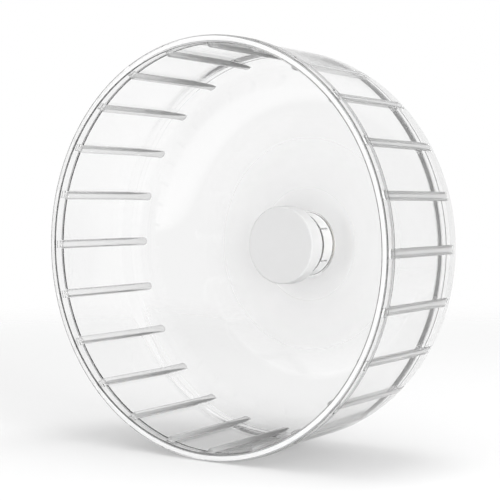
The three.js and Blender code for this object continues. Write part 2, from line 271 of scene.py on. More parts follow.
# Light that goes through on its way to the floor keeps a pale cast, deeper where it meets the plastic edge on
facing = add_node(tree, "ShaderNodeLayerWeight", inputs={"Blend": 0.5})
edge_on = add_node(
    tree, "ShaderNodeMapRange", {"Value": facing.outputs["Facing"]}, {"From Min": 0.5, "From Max": 0.95}
)
cast = add_node(tree, "ShaderNodeMix", {"Factor": edge_on.outputs[0]}, data_type="RGBA", name="cast")
cast.inputs["A"].default_value = linear("#F8F8F8")
cast.inputs["B"].default_value = linear("#DCDCDC")
through = add_node(tree, "ShaderNodeBsdfTransparent", {"Color": cast.outputs["Result"]}, name="through")
ray = add_node(tree, "ShaderNodeLightPath")
shadow = add_node(
    tree, "ShaderNodeMixShader",
    {"Fac": ray.outputs["Is Shadow Ray"], 1: plastic.outputs[0], 2: through.outputs[0]}, name="shadow",
)
add_node(tree, "ShaderNodeOutputMaterial", {"Surface": shadow.outputs[0]})

# The disc was moulded against a matt tool face, so its middle is milky and hides what is behind it
cloudy_plastic = clear_plastic.copy()
cloudy_plastic.name = "clear polystyrene, matt moulding"
tree = cloudy_plastic.node_tree
matt_mask = add_node(tree, "ShaderNodeAttribute", attribute_name="matt")
haze = add_node(
    tree, "ShaderNodeMapRange", {"Value": matt_mask.outputs["Fac"]}, {"To Min": 0.02, "To Max": 0.35}
)
tree.links.new(haze.outputs[0], tree.nodes["plastic"].inputs["Roughness"])
bright = add_node(
    tree, "ShaderNodeMix", {"Factor": matt_mask.outputs["Fac"], "A": tree.nodes["tint"].outputs["Result"]},
    data_type="RGBA",
)
bright.inputs["B"].default_value = linear("#FFFFFF")
tree.links.new(bright.outputs["Result"], tree.nodes["plastic"].inputs["Color"])
whitens = add_node(tree, "ShaderNodeBsdfDiffuse", inputs={"Color": linear("#FFFFFF")})
lets_through = add_node(tree, "ShaderNodeBsdfTranslucent", inputs={"Color": linear("#FFFFFF")})
milk = add_node(
    tree, "ShaderNodeMixShader", {1: whitens.outputs[0], 2: lets_through.outputs[0]}, {"Fac": 0.1}
)
milk_share = add_node(
    tree, "ShaderNodeMapRange", {"Value": matt_mask.outputs["Fac"]}, {"To Min": 0.0, "To Max": 0.95}
)
milky = add_node(
    tree, "ShaderNodeMixShader",
    {"Fac": milk_share.outputs[0], 1: tree.nodes["plastic"].outputs[0], 2: milk.outputs[0]},
)

# Light trapped in the corner is painted a little greyer than light trapped in the straight wall, a painted
# shade band where the corner bends
bend_mask = add_node(tree, "ShaderNodeAttribute", attribute_name="bend")
painted_corner_grey = add_node(tree, "ShaderNodeMix", {"Factor": bend_mask.outputs["Fac"]}, data_type="RGBA")
painted_corner_grey.inputs["A"].default_value = linear("#FCFCFC")
painted_corner_grey.inputs["B"].default_value = linear("#F1F1F1")
tree.links.new(painted_corner_grey.outputs["Result"], tree.nodes["tint"].inputs["B"])

# The wall and corner shade the floor more than the thin clear pieces do, and the disc not at all
within_mask = add_node(tree, "ShaderNodeAttribute", attribute_name="within")
lit = add_node(
    tree, "ShaderNodeMix", {"Factor": within_mask.outputs["Fac"], "A": tree.nodes["cast"].outputs["Result"]},
    data_type="RGBA",
)
tree.nodes["cast"].inputs["A"].default_value = linear("#DEDEDE")
tree.nodes["cast"].inputs["B"].default_value = linear("#848484")
lit.inputs["B"].default_value = linear("#FFFFFF")
tree.links.new(lit.outputs["Result"], tree.nodes["through"].inputs["Color"])

# Each foot bar is bonded to the wall, so a strip as wide as its base lets light straight through into the bar
bar_count = 24
bar_half_width = 2.3
bar_foot_radius = 100.0
bar_spacing = 2 * math.pi * bar_foot_radius / bar_count
coords = add_node(tree, "ShaderNodeTexCoord")
axes = add_node(tree, "ShaderNodeSeparateXYZ", {0: coords.outputs["Object"]})
turn = add_node(tree, "ShaderNodeMath", {0: axes.outputs["Z"], 1: axes.outputs["X"]}, operation="ARCTAN2")
bars = add_node(
    tree, "ShaderNodeMath", {0: turn.outputs[0]}, {1: bar_count / (2 * math.pi)}, operation="MULTIPLY"
)
aside = add_node(tree, "ShaderNodeMath", {0: bars.outputs[0]}, {1: 0.5}, operation="PINGPONG")
under = add_node(
    tree, "ShaderNodeMath", {0: aside.outputs[0]}, {1: bar_half_width / bar_spacing}, operation="LESS_THAN"
)
joint_mask = add_node(tree, "ShaderNodeAttribute", attribute_name="joint")
bonded = add_node(
    tree, "ShaderNodeMath", {0: under.outputs[0], 1: joint_mask.outputs["Fac"]}, operation="MULTIPLY"
)
straight = add_node(tree, "ShaderNodeBsdfTransparent", inputs={"Color": linear("#FFFFFF")})
wall = add_node(
    tree, "ShaderNodeMixShader", {"Fac": bonded.outputs[0], 1: milky.outputs[0], 2: straight.outputs[0]}
)
tree.links.new(wall.outputs[0], tree.nodes["shadow"].inputs[1])

# Thick rings of the same plastic: light trapped in them by total reflection is painted grey, a painted shade
# that draws dark lines along their round edges
thick_edge_shaded_plastic = clear_plastic.copy()
thick_edge_shaded_plastic.name = "clear polystyrene, thick moulding, painted edge shade"
thick_edge_shaded_plastic.node_tree.nodes["tint"].inputs["B"].default_value = linear("#B4B4B4")

# A ring's main face is trimmed after moulding, which leaves it matt and white between its clear edges
trimmed_plastic = thick_edge_shaded_plastic.copy()
trimmed_plastic.name = "clear polystyrene, trimmed matt"
tree = trimmed_plastic.node_tree
whitens = add_node(tree, "ShaderNodeBsdfDiffuse", inputs={"Color": linear("#FFFFFF")})
matt_face = add_node(
    tree, "ShaderNodeMixShader", {1: tree.nodes["plastic"].outputs[0], 2: whitens.outputs[0]}, {"Fac": 0.75}
)
tree.links.new(matt_face.outputs[0], tree.nodes["shadow"].inputs[1])

# Solvent cement fills the joints, so light passes straight from one moulding into the next
cement = bpy.data.materials.new("solvent cement, clear joint")
cement.use_nodes = True
tree = cement.node_tree
tree.nodes.clear()
straight = add_node(tree, "ShaderNodeBsdfTransparent", inputs={"Color": linear("#FFFFFF")})
add_node(tree, "ShaderNodeOutputMaterial", {"Surface": straight.outputs[0]})

# The wall's front edge is cemented to the rim, and the collar's outer face is trimmed. A face is picked by
# its place, to within near, and by its normal, which points squarely the right way.
near = 0.02
squarely = 0.99
trim_start = bearing_back + 1.0
trim_end = disc_front - 1.2
for material in (cloudy_plastic, cement, trimmed_plastic):
    drum_shell.data.materials.append(material)
cement_slot = 1
trimmed_slot = 2
for face in drum_shell.data.polygons:
    out = math.hypot(face.center.x, face.center.z) / MM
    outward = (face.normal.x * face.center.x + face.normal.z * face.center.z) / MM / out
    on_collar = abs(out - collar_radius) < near and outward > squarely
    if face.center.y < (wall_front + near) * MM:
        face.material_index = cement_slot
    elif on_collar and trim_start < face.center.y / MM < trim_end:
        face.material_index = trimmed_slot

# Where the disc is milky, what lies on the disc, where a bar may be bonded, and where the corner bends and
# takes its painted grey.
# All four are made first and then fetched, because a new attribute moves the earlier ones.
milky_radius = 60.0
milky_fade = 28.0
clear_foot = 0.9
inner_depth = 1.5
bond_end = -36.8
bend_start = -47.0
bend_length = 3.0
masks = ("matt", "within", "joint", "bend")
for mask in masks:
    drum_shell.data.attributes.new(mask, "FLOAT", "POINT")
matt, within, joint, bend = [drum_shell.data.attributes[mask].data for mask in masks]
for corner in drum_shell.data.vertices:
    out = math.hypot(corner.co.x, corner.co.z) / MM
    along = corner.co.y / MM
    on_inner_face = out < wall_radius(inner_depth, along)
    bend_share = min(1, max(0, (along - bend_start) / bend_length))
    beside_collar = out > collar_radius + clear_foot
    matt[corner.index].value = eased(milky_radius - out, milky_fade) if beside_collar else 0
    within[corner.index].value = 1 if out < corner_start_radius else 0
    joint[corner.index].value = 1 if on_inner_face and along < bond_end else 0
    bend[corner.index].value = bend_share if out > corner_start_radius else 0
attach(drum_shell, "drum")
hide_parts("drum_shell")


# Foot bars
# Clear bars with round shoulders along the wall: each starts in a round nose at the rim, runs straight back
# and dies out where the corner curves in under it. Solvent bonds it to the wall, so its tab doesn't show.

bar_height = 2.0
bar_gap = 0.15
bar_half_section = [
    (bar_half_width, 0), (2.08, 0.06), (1.92, 0.22), (1.82, 0.5), (1.68, 1.0),
    (1.48, 1.45), (1.15, 1.78), (0.75, 1.94), (0.3, bar_height),
]
nose_front = -102.0
nose_round = 2.0
tip_height = 0.3
tip_round = 2.0
lost_in_swell = 0.65
swell_from = -60.0
section_spacing = 10.0

# The line under the bar, which is straight along the wall and then an arc in the corner
arc_radius = corner_round - wall_thickness - bar_gap
arc_y = disc_front - (corner_round - wall_thickness)
arc_centre = wall_radius(wall_inset(arc_y), arc_y) - (corner_round - wall_thickness) / math.cos(wall_slope)
straight_end = arc_y + arc_radius * math.sin(wall_slope)
tip_y = straight_end + math.sqrt(2 * arc_radius * (bar_height - tip_height - lost_in_swell))

# Places along the bar, close together at both round ends and over the wall's swell, each with the share of
# the full section that it has there
angles = [math.radians(15 * step) for step in range(1, 7)]
places = [(nose_front + nose_round * (1 - math.cos(angle)), math.sin(angle)) for angle in angles]
places += [(swell_from + step, 1.0) for step in range(15)]
places += [(straight_end + (tip_y - tip_round - straight_end) * step / 6, 1.0) for step in range(7)]
places += [(tip_y - tip_round * (1 - math.cos(angle)), math.sin(angle)) for angle in reversed(angles[:-1])]

# The section is extruded once for each place, and every layer is then moved to its place on the wall
section = bar_half_section + [(-across, up) for across, up in reversed(bar_half_section)]
bar_model = draw_outline(section + section[:1])
bpy.ops.mesh.remove_doubles(threshold=weld_gap)
for _ in places[1:]:
    bpy.ops.mesh.extrude_region_move(TRANSFORM_OT_translate={"value": (0, 0, section_spacing * MM)})
bpy.ops.mesh.select_all(action="SELECT")
bpy.ops.mesh.fill_holes(sides=0)
bpy.ops.object.mode_set(mode="OBJECT")
for corner in bar_model.data.vertices:
    across, up = corner.co.x / MM, corner.co.y / MM / bar_height
    y, share = places[round(corner.co.z / MM / section_spacing)]
    base = wall_radius(wall_inset(y) + bar_gap, y)
    if y > straight_end:
        base = arc_centre + math.sqrt(arc_radius**2 - (y - arc_y) ** 2)
    height = (base - wall_radius(wall_thickness + bar_gap + bar_height, y)) * share
    corner.co = ((base - up * height) * MM, y * MM, across * share * MM)
bpy.ops.object.mode_set(mode="EDIT")
bpy.ops.mesh.select_all(action="SELECT")
bpy.ops.mesh.normals_make_consistent(inside=False)
bpy.ops.object.mode_set(mode="OBJECT")
bpy.ops.object.shade_smooth_by_angle(angle=math.radians(40))

# The bars come from a plainer tool than the shell: a haze softens what shows in them to an even pale grey
soft_plastic = clear_plastic.copy()
soft_plastic.name = "clear polystyrene, plain moulding"
tree = soft_plastic.node_tree
tree.nodes["tint"].inputs["A"].default_value = linear("#EAEAEA")
tree.nodes["polish"].inputs["To Min"].default_value = 0.08
tree.nodes["polish"].inputs["To Max"].default_value = 0.14
hazes = add_node(tree, "ShaderNodeBsdfDiffuse", inputs={"Color": linear("#D0D0D0")})
hazy = add_node(
    tree, "ShaderNodeMixShader", {1: tree.nodes["plastic"].outputs[0], 2: hazes.outputs[0]}, {"Fac": 0.45}
)
tree.links.new(hazy.outputs[0], tree.nodes["shadow"].inputs[1])

# Glue under the rim dries milky, which shows white through the clear plastic in front of it
dry_glue = bpy.data.materials.new("solvent glue, dried milky")
dry_glue.use_nodes = True
tree = dry_glue.node_tree
tree.nodes.clear()
whitens = add_node(tree, "ShaderNodeBsdfDiffuse", inputs={"Color": linear("#FFFFFF")})
lets_through = add_node(tree, "ShaderNodeBsdfTranslucent", inputs={"Color": linear("#FFFFFF")})
glue = add_node(
    tree, "ShaderNodeMixShader", {1: whitens.outputs[0], 2: lets_through.outputs[0]}, {"Fac": 0.2}
)
add_node(tree, "ShaderNodeOutputMaterial", {"Surface": glue.outputs[0]})

# A bar's underside is cemented to the wall, and glued to the rim in front of it
for material in (soft_plastic, cement, dry_glue):
    bar_model.data.materials.append(material)
glue_slot = 2
for face in bar_model.data.polygons:
    is_underside = face.normal.x > 0.7
    if is_underside:
        face.material_index = cement_slot if face.center.y > wall_front * MM else glue_slot
for number in range(bar_count):
    bar = bar_model.copy()
    bar.data = bar_model.data.copy()
    bar.name = bar.data.name = f"foot_bar_{number + 1:02d}"
    bpy.context.collection.objects.link(bar)
    bar.data.transform(Matrix.Rotation(-2 * math.pi * number / bar_count, 4, "Y"))
    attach(bar, "drum")
    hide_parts(f"rung_{number + 1:02d}")
bpy.data.objects.remove(bar_model)


# Front rim
# A separate clear ring laps over the wall's front edge and is bonded there; its rounded back edge leaves a
# groove inside. A shallow slot for each foot bar's tab shows as a pair of small marks on its outside.

rim_front = -105.0
rim_back = -98.5
rim_radius = 105.0
rim_lip_radius = 103.75
rim_step = -99.05
rim_inner_radius = 101.3
rim_slot_size = (1.2, 2.1, 4.0)
rim_slot_y = -100.65
front_rim = turn_outline("front_rim_clear", rounded([
    (rim_inner_radius, rim_front, 0.8),
    (rim_radius, rim_front, 0.8),
    (rim_radius, rim_back, 0.3),
    (rim_lip_radius, rim_back, 0.1),
    (rim_lip_radius, rim_step, 0),
    (rim_inner_radius, rim_step, 0.7),
]), steps=384)

# Glue lies on the step against the wall's edge, and the flat front is trimmed
slots = boxes_round(rim_slot_size, (rim_radius, rim_slot_y, 0), bar_count, 0)
for material in (thick_edge_shaded_plastic, dry_glue, trimmed_plastic):
    front_rim.data.materials.append(material)
step_slot = 1
for face in front_rim.data.polygons:
    if abs(face.center.y / MM - rim_step) < near:
        face.material_index = step_slot
    elif abs(face.center.y / MM - rim_front) < near and abs(face.normal.y) > squarely:
        face.material_index = trimmed_slot
join_solid(front_rim, slots, "DIFFERENCE")
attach(front_rim, "drum")
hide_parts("front_rim")


# Rear bush
# A plain turned bush of natural nylon pressed into the boss behind the disc; it steadies the drum on the
# spindle, and a shallow groove inside it holds grease.

bush_front_face = -20.9
bush_radius = 7.68
bush_bore_radius = 5.68
grease_radius = 6.1
rear_bush = turn_outline("rear_bush_nylon", rounded([
    (bush_bore_radius, bush_front_face, 0.3),
    (bush_radius, bush_front_face, 0.3),
    (bush_radius, boss_back, 0.3),
    (bush_bore_radius, boss_back, 0.3),
    (bush_bore_radius, -14.6, 0),
    (grease_radius, -15.2, 0.2),
    (grease_radius, -16.4, 0.2),
    (bush_bore_radius, -17.0, 0),
]), steps=96)

# Natural nylon, turned: milky off-white with a soft mottle of 5 mm, a fine grain of 0.35 mm and no polish
nylon = bpy.data.materials.new("natural nylon, moulded and turned")
nylon.use_nodes = True
tree = nylon.node_tree
surface = tree.nodes["Principled BSDF"]
coords = add_node(tree, "ShaderNodeTexCoord")
mottle = add_node(
    tree, "ShaderNodeTexNoise", {"Vector": coords.outputs["Object"]}, {"Scale": 1 / (5 * MM), "Detail": 4.0}
)
off_white = add_node(tree, "ShaderNodeMix", {"Factor": mottle.outputs["Fac"]}, data_type="RGBA")
off_white.inputs["A"].default_value = linear("#E4E2DA")
off_white.inputs["B"].default_value = linear("#EFEEE9")
dull = add_node(tree, "ShaderNodeMapRange", {"Value": mottle.outputs["Fac"]}, {"To Min": 0.4, "To Max": 0.62})
grain = add_node(
    tree, "ShaderNodeTexNoise", {"Vector": coords.outputs["Object"]},
    {"Scale": 1 / (0.35 * MM), "Detail": 2.0},
)
turned = add_node(
    tree, "ShaderNodeBump", {"Height": grain.outputs["Fac"]}, {"Strength": 0.25, "Distance": 0.03 * MM}
)
tree.links.new(off_white.outputs["Result"], surface.inputs["Base Color"])
tree.links.new(dull.outputs[0], surface.inputs["Roughness"])
tree.links.new(turned.outputs[0], surface.inputs["Normal"])
surface.inputs["IOR"].default_value = 1.53

rear_bush.data.materials.append(nylon)
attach(rear_bush, "drum")
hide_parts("rear_bush")


# Ball bearing
# A 608 bearing: two ground races with a round track, seven balls in a moulded crown cage, and a pressed
# shield on each side. The outer race turns with the drum and the inner race stands still on the spindle.

bearing_middle = (bearing_front + bearing_back) / 2
race_outer_radius = 11.0
race_bore_radius = 4.05
outer_shoulder_radius = 8.9
inner_shoulder_radius = 6.1
ball_circle = 7.5
ball_radius = 1.98
ball_count = 7
track_radius = 2.1
track_shoulder = 1.4


def track(sign):
    """The round track of a race, from back to front: of the outer race with 1, of the inner race with -1."""
    reach = math.acos(track_shoulder / track_radius)
    points = []
    for angle in [reach * (step / 8 - 1) for step in range(17)]:
        radius = ball_circle + sign * track_radius * math.cos(angle)
        points.append((radius, bearing_middle - track_radius * math.sin(angle), 0))
    return points


outer_race = turn_outline("bearing_outer_race_steel", rounded([
    (outer_shoulder_radius, bearing_back, 0.15),
    (race_outer_radius, bearing_back, 0.4),
    (race_outer_radius, bearing_front, 0.4),
    (outer_shoulder_radius, bearing_front, 0.15),
    *reversed(track(1)),
]), steps=128)
inner_race = turn_outline("bearing_inner_race_steel", rounded([
    (inner_shoulder_radius, bearing_front, 0.15),
    (race_bore_radius, bearing_front, 0.35),
    (race_bore_radius, bearing_back, 0.35),
    (inner_shoulder_radius, bearing_back, 0.15),
    *track(-1),
]), steps=96)

# Bearing steel, ground and polished: bright, with fine rings from the grinding wheel. They are drawn 0.5 mm
# apart so that they show; a wave of scale 1 repeats every 0.314 m.
bearing_steel = bpy.data.materials.new("bearing steel, ground and polished")
bearing_steel.use_nodes = True
tree = bearing_steel.node_tree
surface = tree.nodes["Principled BSDF"]
coords = add_node(tree, "ShaderNodeTexCoord")
rings = add_node(
    tree, "ShaderNodeTexWave", {"Vector": coords.outputs["Object"]},
    {"Scale": 0.314 / (0.5 * MM), "Distortion": 1.2, "Detail": 2.0}, wave_type="RINGS", rings_direction="Y",
)
ground = add_node(
    tree, "ShaderNodeMapRange", {"Value": rings.outputs["Fac"]}, {"To Min": 0.16, "To Max": 0.3}
)
scored = add_node(
    tree, "ShaderNodeBump", {"Height": rings.outputs["Fac"]}, {"Strength": 0.15, "Distance": 0.01 * MM}
)
tree.links.new(ground.outputs[0], surface.inputs["Roughness"])
tree.links.new(scored.outputs[0], surface.inputs["Normal"])
surface.inputs["Base Color"].default_value = linear("#C6C8CB")
surface.inputs["Metallic"].default_value = 1.0

for race, body, node in (
    (outer_race, "drum", "bearing_outer_race"),
    (inner_race, "mount", "bearing_inner_race"),
):
    race.data.materials.append(bearing_steel)
    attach(race, body)
    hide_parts(node)

# Each ball starts as a cut up cube that is blown up to a sphere, so that it has no poles
bpy.ops.object.select_all(action="DESELECT")
bpy.ops.mesh.primitive_cube_add(size=2 * ball_radius * MM)
ball_model = bpy.context.object
bpy.ops.object.mode_set(mode="EDIT")
bpy.ops.mesh.select_all(action="SELECT")
bpy.ops.mesh.subdivide(number_cuts=11)
bpy.ops.object.mode_set(mode="OBJECT")
for corner in ball_model.data.vertices:
    corner.co = corner.co.normalized() * ball_radius * MM
bpy.ops.object.shade_smooth()
ball_model.data.materials.append(bearing_steel)

# The cage is a ring with a round pocket for each ball, as large as the track
crown_front = -30.7
crown_back = -26.8
crown_inner_radius = 6.5
crown_outer_radius = 8.5
crown = turn_outline("ball_cage_nylon", rounded([
    (crown_inner_radius, crown_front, 0.2),
    (crown_outer_radius, crown_front, 0.2),
    (crown_outer_radius, crown_back, 0.2),
    (crown_inner_radius, crown_back, 0.2),
]), steps=140)
for number in range(ball_count):
    angle = 2 * math.pi * number / ball_count
    middle = (ball_circle * MM * math.cos(angle), bearing_middle * MM, -ball_circle * MM * math.sin(angle))
    pocket = ball_model.copy()
    pocket.data = ball_model.data.copy()
    bpy.context.collection.objects.link(pocket)
    pocket.data.transform(Matrix.Translation(middle) @ Matrix.Scale(track_radius / ball_radius, 4))
    join_solid(crown, pocket, "DIFFERENCE")
    ball = ball_model.copy()
    ball.data = ball_model.data.copy()
    ball.name = ball.data.name = f"ball_{number + 1}_steel"
    bpy.context.collection.objects.link(ball)
    ball.data.transform(Matrix.Translation(middle))
    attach(ball, "balls")
    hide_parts(f"ball_{number + 1}")
bpy.data.objects.remove(ball_model)
crown.data.materials.clear()
crown.data.materials.append(nylon)
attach(crown, "balls")
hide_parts("ball_cage")

# Bright zinc plate on pressed steel: pale grey with a faint blue cast and an uneven shine in clouds of 2 mm
zinc_steel = bpy.data.materials.new("pressed steel, bright zinc plate")
zinc_steel.use_nodes = True
tree = zinc_steel.node_tree
surface = tree.nodes["Principled BSDF"]
coords = add_node(tree, "ShaderNodeTexCoord")
cloud = add_node(
    tree, "ShaderNodeTexNoise", {"Vector": coords.outputs["Object"]}, {"Scale": 1 / (2 * MM), "Detail": 4.0}
)
plate = add_node(tree, "ShaderNodeMix", {"Factor": cloud.outputs["Fac"]}, data_type="RGBA")
plate.inputs["A"].default_value = linear("#A4A9AF")
plate.inputs["B"].default_value = linear("#C3C7CA")
shine = add_node(
    tree, "ShaderNodeMapRange", {"Value": cloud.outputs["Fac"]}, {"To Min": 0.22, "To Max": 0.42}
)
tree.links.new(plate.outputs["Result"], surface.inputs["Base Color"])
tree.links.new(shine.outputs[0], surface.inputs["Roughness"])
surface.inputs["Metallic"].default_value = 1.0

# A shield's section, as radius and share of its depth: a raised ring between two lower edges
shield_section = [
    (6.4, 0.55), (6.9, 0.55), (7.2, 0), (8.5, 0), (8.85, 0.3),
    (8.85, 0.8), (8.4, 0.45), (7.3, 0.45), (7.0, 1), (6.4, 1),
]
shield_depth = 0.35
shield_inset = 0.1
for side, face_y, depth in (
    ("front", bearing_front + shield_inset, shield_depth),
    ("rear", bearing_back - shield_inset, -shield_depth),
):
    shield_outline = [(radius, face_y + share * depth) for radius, share in shield_section]
    shield = turn_outline(f"bearing_shield_{side}_zinc", shield_outline, steps=96)
    shield.data.materials.append(zinc_steel)
    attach(shield, "drum")
    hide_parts(f"bearing_shield_{side}")


# Bearing retainer
# A clear moulded ring that is pressed over the bearing's collar. Its web keeps the bearing in,
# and its outer tube carries the cap and shows as a white band with clear edges behind it.

tube_radius = 17.8
tube_bore_radius = 15.9
tube_front = -39.7
tube_back = -26.5
tube_trim_end = -28.4
tube_edge = 0.05
web_front = -34.9
web_back = -33.5
web_bore_radius = 10.3
grip_outer_radius = 14.6
grip_inner_radius = 13.35
grip_back = -28.5
retainer = turn_outline("bearing_retainer_clear", rounded([
    (web_bore_radius, web_front, 0.2),
    (tube_bore_radius, web_front, 0.3),
    (tube_bore_radius, tube_front, 0.2),
    (tube_radius, tube_front, 0.3),
    (tube_radius, tube_trim_end, 0),
    (tube_radius, tube_back, 0.6),
    (tube_bore_radius, tube_back, 0.2),
    (tube_bore_radius, web_back, 0.3),
    (grip_outer_radius, web_back, 0.2),
    (grip_outer_radius, grip_back, 0.2),
    (grip_inner_radius, grip_back, 0.2),
    (grip_inner_radius, web_back, 0.2),
    (web_bore_radius, web_back, 0.2),
]), steps=128)
for material in (thick_edge_shaded_plastic, trimmed_plastic):
    retainer.data.materials.append(material)
tube_trimmed_slot = 1
for face in retainer.data.polygons:
    on_tube = math.hypot(face.center.x, face.center.z) / MM > tube_radius - tube_edge
    if on_tube and face.center.y / MM < tube_trim_end:
        face.material_index = tube_trimmed_slot
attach(retainer, "drum")
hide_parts("bearing_retainer")


# Spindle
# A white nylon moulding that stands still: a nose with a groove for the clip, the bearing's seat, a shoulder,
# a hexagon that sits in the flange, and an M8 stud with a real screw thread behind it.

nose_tip = -36.5
journal_radius = 4.0
groove_radius = 3.3
groove_front = -35.3
groove_back = -34.3
shoulder_radius = 5.6
shoulder_front = -26.1
hexagon_middle = -4.6
hexagon_length = 4.8
hexagon_corner_radius = 8.2
stud_radius = 3.95
stud_back = 22.0
core_radius = 3.3
core_back = 12.0
thread_front = 2.0
thread_radius = 3.96
thread_pitch = 1.25
thread_turns = 20
spindle = turn_outline("spindle_nylon", rounded([
    (0, nose_tip, 0),
    (journal_radius, nose_tip, 0.5),
    (journal_radius, groove_front, 0.05),
    (groove_radius, groove_front, 0.1),
    (groove_radius, groove_back, 0.1),
    (journal_radius, groove_back, 0.05),
    (journal_radius, shoulder_front, 0.3),
    (shoulder_radius, shoulder_front, 0.4),
    (shoulder_radius, hexagon_middle, 0),
    (stud_radius, hexagon_middle, 0),
    (stud_radius, thread_front, 0),
    (core_radius, thread_front + 0.6, 0),
    (core_radius, core_back, 0),
    (0, core_back, 0),
], hold=0.05), steps=96)


def hexagon_bar(corner_radius, length, middle_y):
    """Adds a hexagonal bar along the Y axis, in millimetres, to be joined or cut out."""
    bpy.ops.object.select_all(action="DESELECT")
    bpy.ops.mesh.primitive_cylinder_add(
        vertices=6, radius=corner_radius * MM, depth=length * MM,
        rotation=(math.pi / 2, 0, 0), location=(0, middle_y * MM, 0),
    )
    bpy.ops.object.transform_apply()
    return bpy.context.object


# The hexagon's corners are cut back at both ends, as on a nut
hexagon = hexagon_bar(hexagon_corner_radius, hexagon_length, hexagon_middle)
chamfer = turn_outline("hexagon_chamfer", [
    (0, -7.1), (7.0, -7.1), (8.3, -6.4), (8.3, -2.8), (7.0, -2.1), (0, -2.1),
], steps=96)
join_solid(hexagon, chamfer, "INTERSECT")
join_solid(spindle, hexagon, "UNION")

# One tooth is wound up the stud, cut off square at both ends and pointed
thread = draw_outline([
    (core_radius, 0), (3.34, 0.15), (thread_radius, 0.5), (thread_radius, 0.7), (3.34, 1.1),
    (core_radius, thread_pitch),
])
bpy.ops.object.mode_set(mode="OBJECT")
helix = thread.modifiers.new("helix", "SCREW")
helix.axis = "Y"
helix.angle = 2 * math.pi
helix.screw_offset = thread_pitch * MM
helix.iterations = thread_turns
helix.steps = helix.render_steps = 48
helix.use_merge_vertices = True
helix.merge_threshold = 0.01 * MM
bpy.ops.object.modifier_apply(modifier=helix.name)
bpy.ops.object.mode_set(mode="EDIT")
bpy.ops.mesh.select_all(action="SELECT")
bpy.ops.mesh.remove_doubles(threshold=0.01 * MM)
bpy.ops.mesh.select_all(action="SELECT")
bpy.ops.mesh.bisect(plane_co=(0, thread_front * MM, 0), plane_no=(0, 1, 0), use_fill=True, clear_inner=True)
bpy.ops.mesh.select_all(action="SELECT")
bpy.ops.mesh.bisect(plane_co=(0, stud_back * MM, 0), plane_no=(0, 1, 0), use_fill=True, clear_outer=True)
bpy.ops.mesh.select_all(action="SELECT")
bpy.ops.mesh.normals_make_consistent(inside=False)
bpy.ops.object.mode_set(mode="OBJECT")
point = turn_outline("stud_point", [
    (0, 1), (5, 1), (5, stud_back - 1.2), (3.1, stud_back + 0.1), (0, stud_back + 0.1),
], steps=64)
join_solid(thread, point, "INTERSECT")
join_solid(spindle, thread, "UNION")
spindle.data.materials.clear()
spindle.data.materials.append(nylon)
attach(spindle, "mount")
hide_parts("spindle")


# Washer and clip
# A stamped washer lies on the bearing, and a stamped spring clip in the spindle's groove holds it all on.
# The clip is open at one side and has two reliefs in its bore, so that it can spring over the spindle.

washer_radius = 6.15
washer_bore_radius = 4.05
washer_front = -34.3
washer_back = -33.3
clip_radius = 5.55
clip_bore_radius = 3.35
clip_front = -35.2
clip_back = -34.4
clip_middle = -34.8
mouth_size = (12.0, 2.0, 4.4)
mouth_radius = 6.0
relief_size = (3.0, 2.0, 2.4)
relief_radius = 2.9
washer = turn_outline("axle_washer_zinc", rounded([
    (washer_bore_radius, washer_front, 0.1),
    (washer_radius, washer_front, 0.3),
    (washer_radius, washer_back, 0.1),
    (washer_bore_radius, washer_back, 0.1),
]), steps=96)
clip = turn_outline("axle_clip_zinc", rounded([
    (clip_bore_radius, clip_front, 0.08),
    (clip_radius, clip_front, 0.2),
    (clip_radius, clip_back, 0.08),
    (clip_bore_radius, clip_back, 0.08),
]), steps=96)
mouth = boxes_round(mouth_size, (mouth_radius, clip_middle, 0), 1, 0)
join_solid(clip, mouth, "DIFFERENCE")
for relief_angle in (105, 255):
    relief = boxes_round(relief_size, (relief_radius, clip_middle, 0), 1, math.radians(relief_angle))
    join_solid(clip, relief, "DIFFERENCE")
for part, node in ((washer, "axle_washer"), (clip, "axle_clip")):
    part.data.materials.clear()
    part.data.materials.append(zinc_steel)
    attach(part, "mount")
    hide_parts(node)


# Hub cap
# A white moulded lid pressed over the retainer; its face is flat and its skirt flares a little.

cap_front = -41.6
cap_inside = -40.0
cap_radius = 20.4
skirt_radius = 20.8
skirt_bore_radius = 18.1
skirt_back = -34.1
hub_cap = turn_outline("hub_cap_white", rounded([
    (0, cap_front, 0),
    (cap_radius, cap_front, 0.8),
    (skirt_radius, skirt_back, 0.3),
    (skirt_bore_radius, skirt_back, 0),
    (skirt_bore_radius, cap_inside, 0.5),
    (0, cap_inside, 0),
]), steps=128)

# White ABS from a lightly spark finished tool: even and satin, with flow marks of 9 mm that hardly show and a
# fine skin of 0.5 mm that only the highlights show
white_plastic = bpy.data.materials.new("white moulded ABS, satin")
white_plastic.use_nodes = True
tree = white_plastic.node_tree
surface = tree.nodes["Principled BSDF"]
coords = add_node(tree, "ShaderNodeTexCoord")
flow = add_node(
    tree, "ShaderNodeTexNoise", {"Vector": coords.outputs["Object"]}, {"Scale": 1 / (9 * MM), "Detail": 3.0}
)
satin = add_node(tree, "ShaderNodeMapRange", {"Value": flow.outputs["Fac"]}, {"To Min": 0.36, "To Max": 0.5})
shade = add_node(tree, "ShaderNodeMix", {"Factor": flow.outputs["Fac"]}, data_type="RGBA")
shade.inputs["A"].default_value = linear("#EBEBEB")
shade.inputs["B"].default_value = linear("#EFEFEF")
spark = add_node(
    tree, "ShaderNodeTexNoise", {"Vector": coords.outputs["Object"]}, {"Scale": 1 / (0.5 * MM), "Detail": 2.0}
)
skin = add_node(
    tree, "ShaderNodeBump", {"Height": spark.outputs["Fac"]}, {"Strength": 0.2, "Distance": 0.02 * MM}
)
tree.links.new(shade.outputs["Result"], surface.inputs["Base Color"])
tree.links.new(satin.outputs[0], surface.inputs["Roughness"])
tree.links.new(skin.outputs[0], surface.inputs["Normal"])
surface.inputs["IOR"].default_value = 1.54

